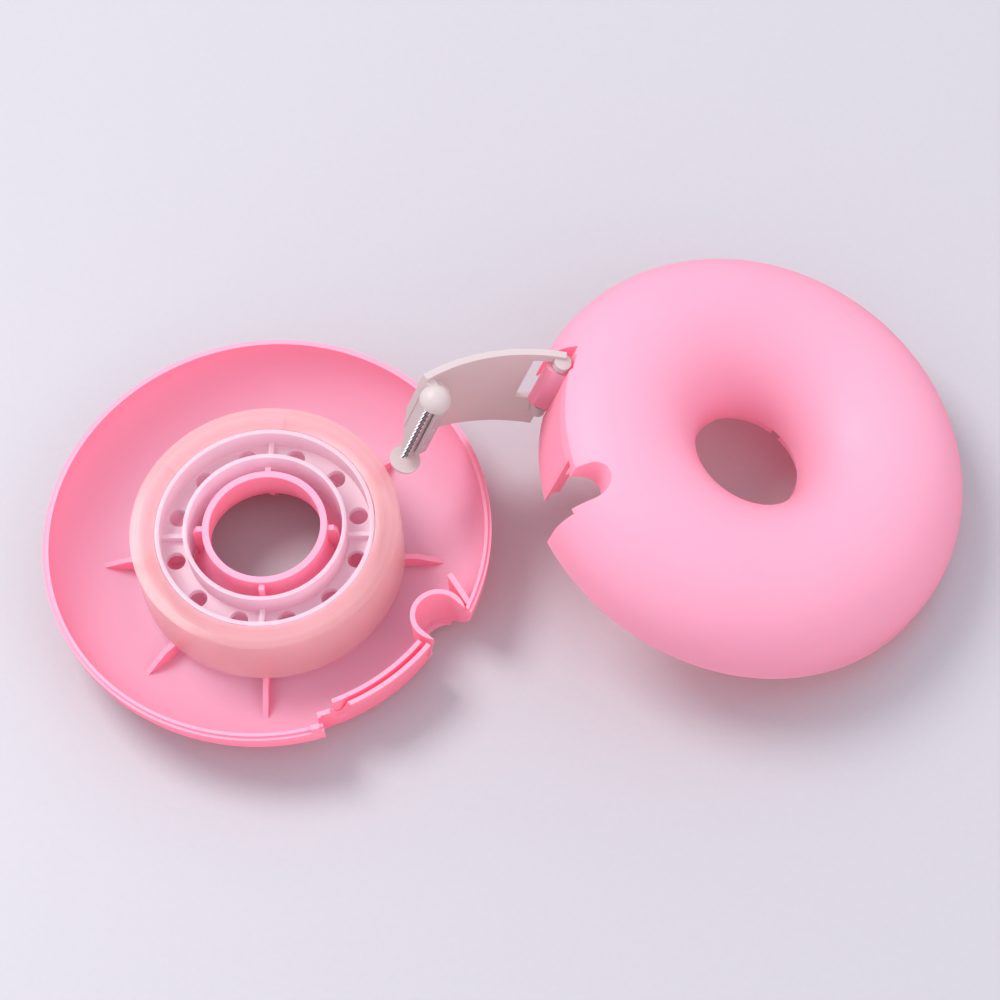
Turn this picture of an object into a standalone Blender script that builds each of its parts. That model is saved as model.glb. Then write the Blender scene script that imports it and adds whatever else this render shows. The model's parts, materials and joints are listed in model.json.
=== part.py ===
"""Donut-shaped hand-held dispenser for clear tape, lying open in its two half shells.

The lower shell lies level on its dome and holds the tape roll. The upper shell leans on its rim with
its hinge side raised, and its cutter arm is swung out over the lower shell.
Each shell has its own frame: the donut's axis is Z and the parting plane is z = 0. Lengths are in
millimetres and angles in degrees until metres() and math.radians() turn them into Blender's units.
"""

import math

import bmesh
import bpy
from mathutils import Matrix, Vector

MM = 0.001

# The two shells
SHELL_RADIUS = 40.0
THROAT_RADIUS = 9.9
WALL = 1.2
LOWER_DEPTH = 13.6
FOOT_RADIUS = 24.95
FOOT_HALF = 1.4
UPPER_DOME = 15.0
UPPER_BAND = 3.6
RING_RADIUS = (SHELL_RADIUS + THROAT_RADIUS) / 2
RING_HALF = (SHELL_RADIUS - THROAT_RADIUS) / 2
TONGUE = 0.5
POST_TOP = 3.0
COLLAR_BORE = THROAT_RADIUS + WALL + 0.3
COLLAR_RADIUS = 12.7
TURN_STEPS = 48
DOME_STEPS = 7

# The window for the arm, in each shell: it runs anticlockwise from the hinge end to the tip end
RECESS_RADIUS = 36.0
WINDOW_START = 155.8
WINDOW_END = 202.8
LEDGE_END = 191.5
NOTCH_ANGLE = 201.0
NOTCH_REACH = 34.8
NOTCH_RADIUS = 3.1
NOTCH_BODY_RADIUS = 4.0
NOTCH_WALL = 0.9
NOTCH_EXIT_TURN = -14.0
SHELL_TURN = 233.5
RIB_TURN = -5.0
LOW_WINDOW_RADIUS = 37.1
LOW_WINDOW_LEAN = 0.22
LEDGE_BOTTOM = -2.8
UPPER_NOTCH_BOTTOM = 9.4

# The roll
CORE_BORE = 13.8
CORE_RADIUS = 19.5
ROLL_BORE = 19.65
ROLL_RADIUS = 24.0
ROLL_BOTTOM = -8.9
TAPE_WIDTH = 12.0
CORE_RING = 0.75
CORE_BORE_BOTTOM = -6.6
WEB_TOP = -1.6
WEB_THICKNESS = 1.2
WEB_HOLES = 12
WEB_HOLE_RADIUS = 1.7
RIB_TOP = ROLL_BOTTOM - 0.3

# The cutter arm, modelled closed and then swung open about its pin
PIN_ANGLE = 161.5
PIN_REACH = 37.3
PIN_RADIUS = 0.8
PIN_BORE = 0.9
BOSS_RADIUS = 1.5
BOSS_BOTTOM = -4.2
POCKET_RADIUS = 2.3
ARM_THICKNESS = 1.2
ARM_REACH = 38.5
ARM_TOP = 13.2
ARM_BOTTOM = -10.0
ARM_END = 201.15
ARM_START = 160.8
SLOT_BOTTOM, SLOT_TOP = -1.6, 11.2
LUG_BOTTOM, LUG_TOP = -1.2, 10.8
ARM_OPEN = 75.3
BALL_RADIUS = 2.76
BALL_TOP = 10.6
BALL_BOTTOM = -10.4
BALL_BOTTOM_DEPTH = 2.3
BLADE_HALF_LENGTH = 9.1
BLADE_TEETH = 13
BLADE_THICKNESS = 0.4
BLADE_BACK = -3.3
TOOTH_ROOT, TOOTH_TIP = 0.5, 1.6

# Where the shells lie
FLOOR_TO_LOWER = LOWER_DEPTH
LOWER_X, LOWER_Y = -41.97, -1.9
UPPER_OFFSET_X, UPPER_OFFSET_Y = 84.2, 3.8
UPPER_TILT = 18.8
UPPER_YAW = -1.4


def metres(point):
    return Vector(point) * MM


def polar(reach, angle, z=0.0):
    turn = math.radians(angle)
    return Vector((reach * math.cos(turn), reach * math.sin(turn), z))


def clear_scene():
    for thing in list(bpy.data.objects):
        bpy.data.objects.remove(thing, do_unlink=True)


def new_collection(name):
    collection = bpy.data.collections.new(name)
    bpy.context.scene.collection.children.link(collection)
    return collection


def plastic(name, colour, roughness, metallic=0.0, alpha=1.0):
    material = bpy.data.materials.new(name)
    material.use_nodes = True
    shader = material.node_tree.nodes["Principled BSDF"]
    shader.inputs["Base Color"].default_value = (*colour, 1.0)
    shader.inputs["Roughness"].default_value = roughness
    shader.inputs["Metallic"].default_value = metallic
    shader.inputs["Alpha"].default_value = alpha
    return material


def add_object(name, mesh, collection, parent):
    thing = bpy.data.objects.new(name, mesh)
    collection.objects.link(thing)
    thing.parent = parent
    return thing


def finish_part(part, material):
    part.data.materials.clear()
    part.data.materials.append(material)
    part.data.shade_smooth()
    part.data.set_sharp_from_angle(angle=math.radians(35))


def turned(name, profile, collection, parent, steps=TURN_STEPS):
    """A closed profile of (radius, z) points turned about Z by a Screw modifier."""
    mesh = bpy.data.meshes.new(name)
    points = [metres((radius, 0.0, z)) for radius, z in profile]
    edges = [(i, (i + 1) % len(points)) for i in range(len(points))]
    mesh.from_pydata(points, edges, [])
    thing = add_object(name, mesh, collection, parent)
    screw = thing.modifiers.new("turn", "SCREW")
    screw.axis = "Z"
    screw.angle = math.tau
    screw.steps = steps
    screw.render_steps = steps
    screw.use_merge_vertices = True
    screw.merge_threshold = 0.00001
    return thing


def outline_bmesh(outline, low, high):
    """The solid between two heights above a flat anticlockwise outline of (x, y) points."""
    bm = bmesh.new()
    ring = [bm.verts.new(metres((x, y, low))) for x, y in outline]
    bottom = bm.faces.new(ring)
    raised = bmesh.ops.extrude_face_region(bm, geom=[bottom])["geom"]
    tops = [item for item in raised if isinstance(item, bmesh.types.BMVert)]
    bmesh.ops.translate(bm, verts=tops, vec=metres((0, 0, high - low)))
    bmesh.ops.recalc_face_normals(bm, faces=bm.faces)
    return bm


def block(name, outline, low, high, collection, parent, turn=None):
    """An extruded outline; turn is an optional matrix in metres that places it."""
    bm = outline_bmesh(outline, low, high)
    if turn is not None:
        bm.transform(turn)
    mesh = bpy.data.meshes.new(name)
    bm.to_mesh(mesh)
    bm.free()
    return add_object(name, mesh, collection, parent)


def sector(inner, outer, start, end):
    """Outline of a ring sector, with a point about every 4 degrees."""
    count = max(2, round(abs(end - start) / 4) + 1)
    angles = [start + (end - start) * i / (count - 1) for i in range(count)]
    far = [polar(outer, angle).xy for angle in angles]
    near = [polar(inner, angle).xy for angle in reversed(angles)]
    return far + near


def leaning_sector(name, inner, outer, lean, low, high, start, end, collection, parent):
    """A ring sector whose radii are those at z = 0 and grow by lean for each millimetre of height."""
    bm = bmesh.new()
    rings = []
    for z in (low, high):
        outline = sector(inner + lean * z, outer + lean * z, start, end)
        rings.append([bm.verts.new(metres((x, y, z))) for x, y in outline])
        bm.faces.new(rings[-1])
    for i, (below, above) in enumerate(zip(*rings)):
        bm.faces.new([rings[0][i - 1], below, above, rings[1][i - 1]])
    bmesh.ops.recalc_face_normals(bm, faces=bm.faces)
    mesh = bpy.data.meshes.new(name)
    bm.to_mesh(mesh)
    bm.free()
    return add_object(name, mesh, collection, parent)


def circle(centre, radius, count=24):
    return [centre + polar(radius, 360.0 * i / count).xy for i in range(count)]


def capsule(start, end, radius, count=12):
    """Outline of a slot with round ends."""
    heading = math.degrees(math.atan2(end.y - start.y, end.x - start.x))
    far = [end + polar(radius, heading - 90 + 180 * i / count).xy for i in range(count + 1)]
    near = [start + polar(radius, heading + 90 + 180 * i / count).xy for i in range(count + 1)]
    return far + near


def upright(origin, heading, thickness):
    """Placement of a plate drawn as (along, up) points and extruded by its thickness."""
    lay = Matrix.Translation(metres((origin.x, origin.y, 0.0)))
    lay = lay @ Matrix.Rotation(math.radians(heading), 4, "Z")
    lay = lay @ Matrix.Rotation(math.radians(90), 4, "X")
    return lay @ Matrix.Translation(metres((0, 0, -thickness / 2)))


def plate(name, outline, thickness, origin, heading, collection, parent):
    turn = upright(origin, heading, thickness)
    return block(name, outline, 0.0, thickness, collection, parent, turn)


def boolean(target, tool, operation):
    modifier = target.modifiers.new(f"{operation.lower()} {tool.name}", "BOOLEAN")
    modifier.operation = operation
    modifier.solver = "EXACT"
    modifier.object = tool
    tool.hide_render = True
    tool.display_type = "WIRE"


def dome_points(half, height, base, start, end):
    """Points on the quarter or half ellipse over the ring radius, from angle start to end."""
    count = round(abs(end - start) / 90 * DOME_STEPS)
    points = []
    for i in range(count + 1):
        angle = math.radians(start + (end - start) * i / count)
        points.append((RING_RADIUS + half * math.cos(angle), base + height * math.sin(angle)))
    return points


def notch_centre(angle):
    return polar(NOTCH_REACH, angle).xy


def notch_slot(angle, radius):
    """Outline of the bite that lets the arm's tip swing out of the notch."""
    centre = notch_centre(angle)
    return capsule(centre, centre + polar(9.0, angle + NOTCH_EXIT_TURN).xy, radius)


def lower_shell(parts, cutters, frame, material):
    outer = dome_points(RING_HALF, LOWER_DEPTH, 0.0, 0, -180)
    foot = [(FOOT_RADIUS + FOOT_HALF, -LOWER_DEPTH), (FOOT_RADIUS - FOOT_HALF, -LOWER_DEPTH)]
    outer = outer[:DOME_STEPS] + foot + outer[DOME_STEPS + 1 :]
    inner = dome_points(RING_HALF - WALL, LOWER_DEPTH - WALL, 0.0, -180, 0)
    lip_outer, lip_inner = SHELL_RADIUS - 0.6, SHELL_RADIUS - WALL
    post = [(THROAT_RADIUS, POST_TOP), (THROAT_RADIUS + WALL, POST_TOP)]
    lip = [(lip_inner, TONGUE), (lip_outer, TONGUE), (lip_outer, 0.0)]
    shell = turned("lower_shell", outer + post + inner + lip, parts, frame)

    space = turned("lower_space", dome_points(RING_HALF - 0.6, LOWER_DEPTH - 0.6, 0.0, 0, -180), cutters, frame)
    space.hide_render = True
    space.display_type = "WIRE"
    back = WINDOW_START - SHELL_TURN
    inside = []
    rib = [(10.0, RIB_TOP), (10.0, -16.0), (32.3, -16.0), (32.3, -12.0), (26.0, RIB_TOP)]
    for angle in (0, 45, 90, 135, 180, 225, 270):
        name = f"rib_{angle}"
        inside.append(plate(name, rib, 1.0, Vector((0, 0)), angle + RIB_TURN, cutters, frame))
    guide = sector(34.4, 35.2, back + 4.4, LEDGE_END - SHELL_TURN)
    inside.append(block("low_guide", guide, -16, -0.6, cutters, frame))
    radii, span = (LOW_WINDOW_RADIUS - 0.85, LOW_WINDOW_RADIUS + 0.3), (back - 0.7, LEDGE_END - SHELL_TURN + 0.4)
    wall = leaning_sector("low_window_wall", *radii, LOW_WINDOW_LEAN, -16, -0.1, *span, cutters, frame)
    inside.append(wall)
    notch = NOTCH_ANGLE - SHELL_TURN
    wall_radius = NOTCH_BODY_RADIUS + NOTCH_WALL
    inside.append(block("low_notch_wall", circle(notch_centre(notch), wall_radius), -16, -0.15, cutters, frame))
    fin = [(0.0, -0.1), (0.0, -14.0), (7.4, -14.0), (7.4, -0.4)]
    fin_angle = WINDOW_END - SHELL_TURN + 4.2
    inside.append(plate("low_fin", fin, 1.0, polar(39.3, fin_angle).xy, fin_angle + 143, cutters, frame))
    for piece in inside:
        boolean(piece, space, "INTERSECT")
        boolean(shell, piece, "UNION")
    gusset = [(10.7, 2.4), (10.7, -5.0), (12.9, -9.5), (12.9, 1.2), (12.2, 2.4)]
    for angle in (0, 90, 180, 270):
        name = f"gusset_{angle}"
        piece = plate(name, gusset, 1.0, Vector((0, 0)), angle + RIB_TURN + 0.01, cutters, frame)
        boolean(shell, piece, "UNION")
    tab = block("low_tab", sector(38.95, 39.85, back - 3.2, back - 1.0), -2.0, 1.3, cutters, frame)
    boolean(shell, tab, "UNION")

    radii, span = (LOW_WINDOW_RADIUS, 52.0), (back, WINDOW_END - SHELL_TURN)
    window = leaning_sector("low_window", *radii, LOW_WINDOW_LEAN, -20, 5, *span, cutters, frame)
    boolean(shell, window, "DIFFERENCE")
    pin = polar(PIN_REACH, PIN_ANGLE - SHELL_TURN).xy
    pocket = block("low_pocket", circle(pin, BOSS_RADIUS + 0.42), BOSS_BOTTOM - 0.65, 5, cutters, frame)
    boolean(shell, pocket, "DIFFERENCE")
    body_slot = notch_slot(notch, NOTCH_BODY_RADIUS)
    boolean(shell, block("low_notch_body", body_slot, -10.2, 5, cutters, frame), "DIFFERENCE")
    boolean(shell, block("low_notch", notch_slot(notch, NOTCH_RADIUS), -20, 4, cutters, frame), "DIFFERENCE")
    finish_part(shell, material)


def upper_shell(parts, cutters, frame, material):
    outer = dome_points(RING_HALF, UPPER_DOME, UPPER_BAND, 90, 0)
    recess = [
        (SHELL_RADIUS, 0.0),
        (SHELL_RADIUS - 0.45, 0.0),
        (SHELL_RADIUS - 0.45, TONGUE + 0.3),
        (SHELL_RADIUS - WALL, TONGUE + 0.3),
    ]
    inner = dome_points(RING_HALF - WALL, UPPER_DOME - WALL, UPPER_BAND, 0, 180)
    inner = [point for point in inner if point[0] > COLLAR_RADIUS + 0.3]
    collar = [
        (COLLAR_RADIUS, 10.0),
        (COLLAR_RADIUS, 0.0),
        (COLLAR_BORE, 0.0),
        (COLLAR_BORE, POST_TOP + 0.3),
        (THROAT_RADIUS, POST_TOP + 0.3),
    ]
    throat = dome_points(RING_HALF, UPPER_DOME, UPPER_BAND, 180, 90)[:-1]
    shell = turned("upper_shell", outer + recess + inner + collar + throat, parts, frame)

    for angle in (0, 90, 180, 270):
        slot = [(11.25, -1.0), (13.6, -1.0), (13.6, 2.9), (11.25, 2.9)]
        heading = angle + RIB_TURN + SHELL_TURN
        cut = plate(f"collar_slot_{angle}", slot, 1.7, Vector((0, 0)), heading, cutters, frame)
        boolean(shell, cut, "DIFFERENCE")
    space_profile = dome_points(RING_HALF - 0.6, UPPER_DOME - 0.6, UPPER_BAND, 90, 0)
    space_profile += [(SHELL_RADIUS - 0.6, LEDGE_BOTTOM), (12.0, LEDGE_BOTTOM)]
    space_profile += dome_points(RING_HALF - 0.6, UPPER_DOME - 0.6, UPPER_BAND, 180, 90)[1:-1]
    space = turned("upper_space", space_profile, cutters, frame)
    space.hide_render = True
    space.display_type = "WIRE"
    start = WINDOW_START - 1.5
    ledge = block("up_ledge", sector(34.0, 37.2, start, LEDGE_END), -6, 25, cutters, frame)
    wall_radius = NOTCH_BODY_RADIUS + NOTCH_WALL
    notch_wall = circle(notch_centre(NOTCH_ANGLE), wall_radius)
    for piece in (ledge, block("up_notch_wall", notch_wall, UPPER_NOTCH_BOTTOM, 25, cutters, frame)):
        boolean(piece, space, "INTERSECT")
        boolean(shell, piece, "UNION")

    window = sector(RECESS_RADIUS, 46.0, WINDOW_START, WINDOW_END)
    boolean(shell, block("up_window", window, -8, 25, cutters, frame), "DIFFERENCE")
    tongue = sector(30.0, 35.4, start - 3, LEDGE_END + 3)
    boolean(shell, block("up_tongue_cut", tongue, -8, -0.05, cutters, frame), "DIFFERENCE")
    body_slot = notch_slot(NOTCH_ANGLE, NOTCH_BODY_RADIUS)
    boolean(shell, block("up_notch_body", body_slot, -8, 10.5, cutters, frame), "DIFFERENCE")
    boolean(shell, block("up_notch", notch_slot(NOTCH_ANGLE, NOTCH_RADIUS), -9, 26, cutters, frame), "DIFFERENCE")
    pin = polar(PIN_REACH, PIN_ANGLE).xy
    boolean(shell, block("up_pocket", circle(pin, POCKET_RADIUS), -10, 14.2, cutters, frame), "DIFFERENCE")
    root = polar(34.7, PIN_ANGLE).xy
    lug_end = polar(PIN_REACH + 1.0, PIN_ANGLE).xy
    lug = block("up_lug", capsule(root, lug_end, BOSS_RADIUS, 8), LUG_BOTTOM, LUG_TOP, cutters, frame)
    boolean(shell, lug, "UNION")
    boolean(shell, block("up_pin_bore", circle(pin, PIN_BORE, 16), -5, 12, cutters, frame), "DIFFERENCE")
    finish_part(shell, material)


def tape_core(parts, cutters, frame, material):
    top, bottom = ROLL_BOTTOM + TAPE_WIDTH, ROLL_BOTTOM
    web_bottom = WEB_TOP - WEB_THICKNESS
    inner_ring, outer_ring = CORE_BORE + CORE_RING, CORE_RADIUS - CORE_RING
    profile = [
        (CORE_RADIUS, top),
        (CORE_RADIUS, bottom),
        (outer_ring, bottom),
        (outer_ring, web_bottom),
        (inner_ring, web_bottom),
        (inner_ring, CORE_BORE_BOTTOM),
        (CORE_BORE, CORE_BORE_BOTTOM),
        (CORE_BORE, top),
        (inner_ring, top),
        (inner_ring, WEB_TOP),
        (outer_ring, WEB_TOP),
        (outer_ring, top),
    ]
    core = turned("tape_core", profile, parts, frame)
    spoke = [(14.3, WEB_TOP - 0.6), (19.1, WEB_TOP - 0.6), (19.1, WEB_TOP + 1.4), (14.3, WEB_TOP + 1.4)]
    for angle in (0, 90, 180, 270):
        name = f"spoke_{angle}"
        piece = plate(name, spoke, 0.9, Vector((0, 0)), angle + RIB_TURN + 0.01, cutters, frame)
        boolean(core, piece, "UNION")
    middle = (inner_ring + outer_ring) / 2
    for i in range(WEB_HOLES):
        centre = polar(middle, (i + 0.5) * 360 / WEB_HOLES + RIB_TURN).xy
        hole = block(f"web_hole_{i}", circle(centre, WEB_HOLE_RADIUS, 12), -5, 2.4, cutters, frame)
        boolean(core, hole, "DIFFERENCE")
    finish_part(core, material)


def tape_roll(parts, frame, material):
    top = ROLL_BOTTOM + TAPE_WIDTH
    profile = [(ROLL_RADIUS, top), (ROLL_RADIUS, ROLL_BOTTOM), (ROLL_BORE, ROLL_BOTTOM), (ROLL_BORE, top)]
    finish_part(turned("tape_roll", profile, parts, frame), material)


def half_ball(name, depth, up, height, cutters, frame):
    """Half of a squashed ball round the notch centre, its flat face at the given height."""
    quarter = [(BALL_RADIUS * math.cos(a), depth * math.sin(a)) for a in [math.pi / 10 * i for i in range(6)]]
    quarter[-1] = (0.0, depth)
    if up:
        profile = [(0.0, depth)] + quarter[-2::-1] + [(0.0, 0.0)]
    else:
        profile = [(0.0, 0.0)] + [(radius, -z) for radius, z in quarter[:-1]] + [(0.0, -depth)]
    bm = bmesh.new()
    verts = [bm.verts.new(metres((radius, 0, z))) for radius, z in profile]
    edges = [bm.edges.new(pair) for pair in zip(verts, verts[1:])]
    spun = {"cent": (0, 0, 0), "axis": (0, 0, 1), "angle": math.tau, "steps": 20, "use_merge": True}
    bmesh.ops.spin(bm, geom=verts + edges, **spun)
    bmesh.ops.remove_doubles(bm, verts=bm.verts, dist=0.000001)
    bmesh.ops.recalc_face_normals(bm, faces=bm.faces)
    centre = notch_centre(NOTCH_ANGLE)
    bmesh.ops.translate(bm, verts=bm.verts, vec=metres((centre.x, centre.y, height)))
    mesh = bpy.data.meshes.new(name)
    bm.to_mesh(mesh)
    bm.free()
    return add_object(name, mesh, cutters, frame)


def tip_block(along_low, along_high, out_low, out_high):
    """Outline beside the notch centre: along is towards the arm's tip, out is away from the donut's axis."""
    centre = notch_centre(NOTCH_ANGLE)
    along, out = polar(1.0, NOTCH_ANGLE + 90).xy, polar(1.0, NOTCH_ANGLE).xy
    corners = [
        (along_low, out_low),
        (along_low, out_high),
        (along_high, out_high),
        (along_high, out_low),
    ]
    return [centre + along * a + out * b for a, b in corners]


def cutter_arm(parts, cutters, closed, material):
    """The arm in its closed place; closed is the frame whose origin is the donut's axis."""
    inner = ARM_REACH - ARM_THICKNESS / 2
    outer = ARM_REACH + ARM_THICKNESS / 2
    band = sector(inner, outer, ARM_START, ARM_END)
    arm = block("cutter_arm", band, ARM_BOTTOM, ARM_TOP, parts, closed)
    pin = polar(PIN_REACH, PIN_ANGLE).xy
    slot = sector(inner - 4, outer + 2, ARM_START - 4, PIN_ANGLE + 7.4)
    neck = tip_block(-1.5, 0.06, 0.0, 3.55)
    low_neck = tip_block(-2.2, -0.5, 0.0, 1.1)
    pad = tip_block(-3.6, -0.04, 0.35, 3.5)
    taper = [(4.8, 3.4), (1.2, -11.0), (4.8, -11.0)]
    taper_place = notch_centre(NOTCH_ANGLE) + polar(-1.0, NOTCH_ANGLE + 90).xy
    web = capsule(pin, polar(inner - 0.3, PIN_ANGLE).xy, BOSS_RADIUS)
    boolean(arm, block("arm_boss", web, BOSS_BOTTOM, 12.6, cutters, closed), "UNION")
    boolean(arm, block("arm_pad", pad, -10.4, 10.2, cutters, closed), "UNION")
    cut = plate("arm_taper", taper, 6.0, taper_place, NOTCH_ANGLE, cutters, closed)
    boolean(arm, cut, "DIFFERENCE")
    boolean(arm, block("arm_neck_top", neck, 9.7, 12.3, cutters, closed), "UNION")
    boolean(arm, block("arm_neck_low", low_neck, -11.5, -9.6, cutters, closed), "UNION")
    boolean(arm, half_ball("ball_top", BALL_RADIUS, True, BALL_TOP, cutters, closed), "UNION")
    boolean(arm, half_ball("ball_low", BALL_BOTTOM_DEPTH, False, BALL_BOTTOM, cutters, closed), "UNION")
    boolean(arm, block("arm_slot", slot, SLOT_BOTTOM, SLOT_TOP, cutters, closed), "DIFFERENCE")
    boolean(arm, block("arm_bore", circle(pin, PIN_BORE, 16), -3.4, 12.0, cutters, closed), "DIFFERENCE")
    finish_part(arm, material)


def blade(parts, closed, material):
    """The toothed strip: an outline of (along, up) points, extruded by the blade's thickness."""
    pitch = 2 * BLADE_HALF_LENGTH / BLADE_TEETH
    outline = [(BLADE_BACK, BLADE_HALF_LENGTH), (BLADE_BACK, -BLADE_HALF_LENGTH)]
    for i in range(BLADE_TEETH):
        low = -BLADE_HALF_LENGTH + pitch * i
        outline += [(TOOTH_ROOT, low), (TOOTH_TIP, low + pitch / 2)]
    outline.append((TOOTH_ROOT, BLADE_HALF_LENGTH))
    centre = notch_centre(NOTCH_ANGLE)
    heading = NOTCH_ANGLE + 90
    strip = plate("blade", outline, BLADE_THICKNESS, centre, heading, parts, closed)
    finish_part(strip, material)


def blade_clamp(parts, cutters, closed, material):
    low, high = -BLADE_HALF_LENGTH, BLADE_HALF_LENGTH
    bar = block("blade_clamp", tip_block(-3.6, -1.3, -0.95, -0.35), low, high, parts, closed)
    for i in (-1, 0, 1):
        dimple = tip_block(-3.0, -1.9, -1.5, -0.75)
        cut = block(f"clamp_recess_{i}", dimple, 6.0 * i - 0.9, 6.0 * i + 0.9, cutters, closed)
        boolean(bar, cut, "DIFFERENCE")
    finish_part(bar, material)


def hinge_pin(parts, frame, material):
    pin = polar(PIN_REACH, PIN_ANGLE).xy
    finish_part(block("hinge_pin", circle(pin, PIN_RADIUS, 16), -3.1, 11.7, parts, frame), material)


def add_frame(name, collection, location, rotation, parent=None):
    frame = bpy.data.objects.new(name, None)
    collection.objects.link(frame)
    frame.parent = parent
    frame.rotation_mode = "QUATERNION"
    frame.location = metres(location)
    frame.rotation_quaternion = rotation.to_quaternion()
    return frame


def main():
    clear_scene()
    parts = new_collection("donut_tape_dispenser")
    cutters = new_collection("cutters")
    pink = plastic("pink plastic", (0.93, 0.42, 0.60), 0.42)
    white = plastic("white plastic", (0.86, 0.84, 0.82), 0.35)
    milky = plastic("core plastic", (0.90, 0.86, 0.90), 0.3, alpha=0.8)
    film = plastic("clear tape", (0.93, 0.74, 0.68), 0.2, alpha=0.6)
    steel = plastic("blade steel", (0.62, 0.62, 0.64), 0.25, metallic=1.0)

    lower = add_frame("lower_frame", parts, (LOWER_X, LOWER_Y, FLOOR_TO_LOWER), Matrix.Identity(3))
    lift = SHELL_RADIUS * math.sin(math.radians(UPPER_TILT))
    place = (LOWER_X + UPPER_OFFSET_X, LOWER_Y + UPPER_OFFSET_Y, lift)
    lean = Matrix.Rotation(math.radians(UPPER_TILT), 3, "Y")
    upper = add_frame("upper_frame", parts, place, Matrix.Rotation(math.radians(UPPER_YAW), 3, "Z") @ lean)
    pin = polar(PIN_REACH, PIN_ANGLE)
    swing = Matrix.Rotation(math.radians(-ARM_OPEN), 3, "Z")
    hinge = add_frame("arm_hinge", parts, pin, swing, upper)
    closed = add_frame("arm_closed_axis", parts, -pin, Matrix.Identity(3), hinge)

    lower_shell(parts, cutters, lower, pink)
    tape_core(parts, cutters, lower, milky)
    tape_roll(parts, lower, film)
    upper_shell(parts, cutters, upper, pink)
    hinge_pin(parts, upper, steel)
    cutter_arm(parts, cutters, closed, white)
    blade(parts, closed, steel)
    blade_clamp(parts, cutters, closed, white)


main()
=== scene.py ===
"""Looks for the donut-shaped tape dispenser: finer shells, roll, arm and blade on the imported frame.

Lengths are in millimetres and angles in degrees until metres() and math.radians() turn them into
Blender's units. Each shell has its own frame, with the donut's axis as Z and the parting plane at z = 0.
"""

import json
import math

import bmesh
import bpy
from mathutils import Matrix, Vector

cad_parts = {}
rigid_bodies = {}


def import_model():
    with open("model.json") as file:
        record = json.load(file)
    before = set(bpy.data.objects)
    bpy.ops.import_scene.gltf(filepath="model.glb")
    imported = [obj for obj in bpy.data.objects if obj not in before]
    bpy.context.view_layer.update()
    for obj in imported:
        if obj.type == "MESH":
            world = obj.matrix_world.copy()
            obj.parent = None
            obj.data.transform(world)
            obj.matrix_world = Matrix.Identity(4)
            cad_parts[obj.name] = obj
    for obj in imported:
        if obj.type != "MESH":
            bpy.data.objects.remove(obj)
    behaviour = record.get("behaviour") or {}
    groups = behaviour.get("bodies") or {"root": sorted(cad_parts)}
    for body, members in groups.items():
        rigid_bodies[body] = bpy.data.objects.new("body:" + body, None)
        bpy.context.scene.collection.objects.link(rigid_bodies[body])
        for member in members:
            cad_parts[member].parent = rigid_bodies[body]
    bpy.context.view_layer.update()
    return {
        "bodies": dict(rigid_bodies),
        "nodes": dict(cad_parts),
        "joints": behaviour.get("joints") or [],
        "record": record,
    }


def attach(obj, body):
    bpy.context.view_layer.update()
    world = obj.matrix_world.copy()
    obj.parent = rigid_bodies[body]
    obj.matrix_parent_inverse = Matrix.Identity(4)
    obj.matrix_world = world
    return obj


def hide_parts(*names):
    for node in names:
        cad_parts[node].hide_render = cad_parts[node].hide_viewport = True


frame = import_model()

MM = 0.001

# The two shells
SHELL_RADIUS = 40.0
THROAT_RADIUS = 9.9
WALL = 1.2
HALF_WALL = WALL / 2
LOWER_DEPTH = 13.6
FOOT_RADIUS = 24.95
FOOT_HALF = 1.4
UPPER_DOME = 15.0
UPPER_BAND = 3.6
RING_RADIUS = (SHELL_RADIUS + THROAT_RADIUS) / 2
RING_HALF = (SHELL_RADIUS - THROAT_RADIUS) / 2
TONGUE = 0.5
POST_TOP = 3.0
COLLAR_BORE = THROAT_RADIUS + WALL + 0.3
COLLAR_RADIUS = 12.7
TURN_STEPS = 160
DOME_STEPS = 20

# The window for the arm, in each shell: it runs anticlockwise from the hinge end to the tip end
RECESS_RADIUS = 36.0
WINDOW_START = 155.8
WINDOW_END = 202.8
LEDGE_END = 191.5
NOTCH_ANGLE = 201.0
NOTCH_REACH = 34.8
NOTCH_RADIUS = 3.1
NOTCH_BODY_RADIUS = 4.0
NOTCH_WALL = 0.9
NOTCH_EXIT_TURN = -14.0
SHELL_TURN = 233.5
RIB_TURN = -5.0
LOW_WINDOW_RADIUS = 37.1
LOW_WINDOW_LEAN = 0.22
LEDGE_BOTTOM = -2.8
UPPER_NOTCH_BOTTOM = 9.4
NOTCH_BODY_BOTTOM = -10.2

# Ribs, walls and fin: they start under the lower shell, and its inner space trims them
UNDER_LOWER = -16
PLATE_THICKNESS = 1.0
FIN_REACH, FIN_HEADING = 39.3, 143
SEAM_NUDGE = 0.01

# The roll
CORE_BORE = 13.8
CORE_RADIUS = 19.5
ROLL_BORE = 19.65
ROLL_RADIUS = 24.0
ROLL_BOTTOM = -8.9
TAPE_WIDTH = 12.0
CORE_RING = 0.75
CORE_BORE_BOTTOM = -6.6
WEB_TOP = -1.6
WEB_THICKNESS = 1.2
WEB_HOLES = 12
WEB_HOLE_RADIUS = 1.7
RIB_TOP = ROLL_BOTTOM - 0.3

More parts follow.
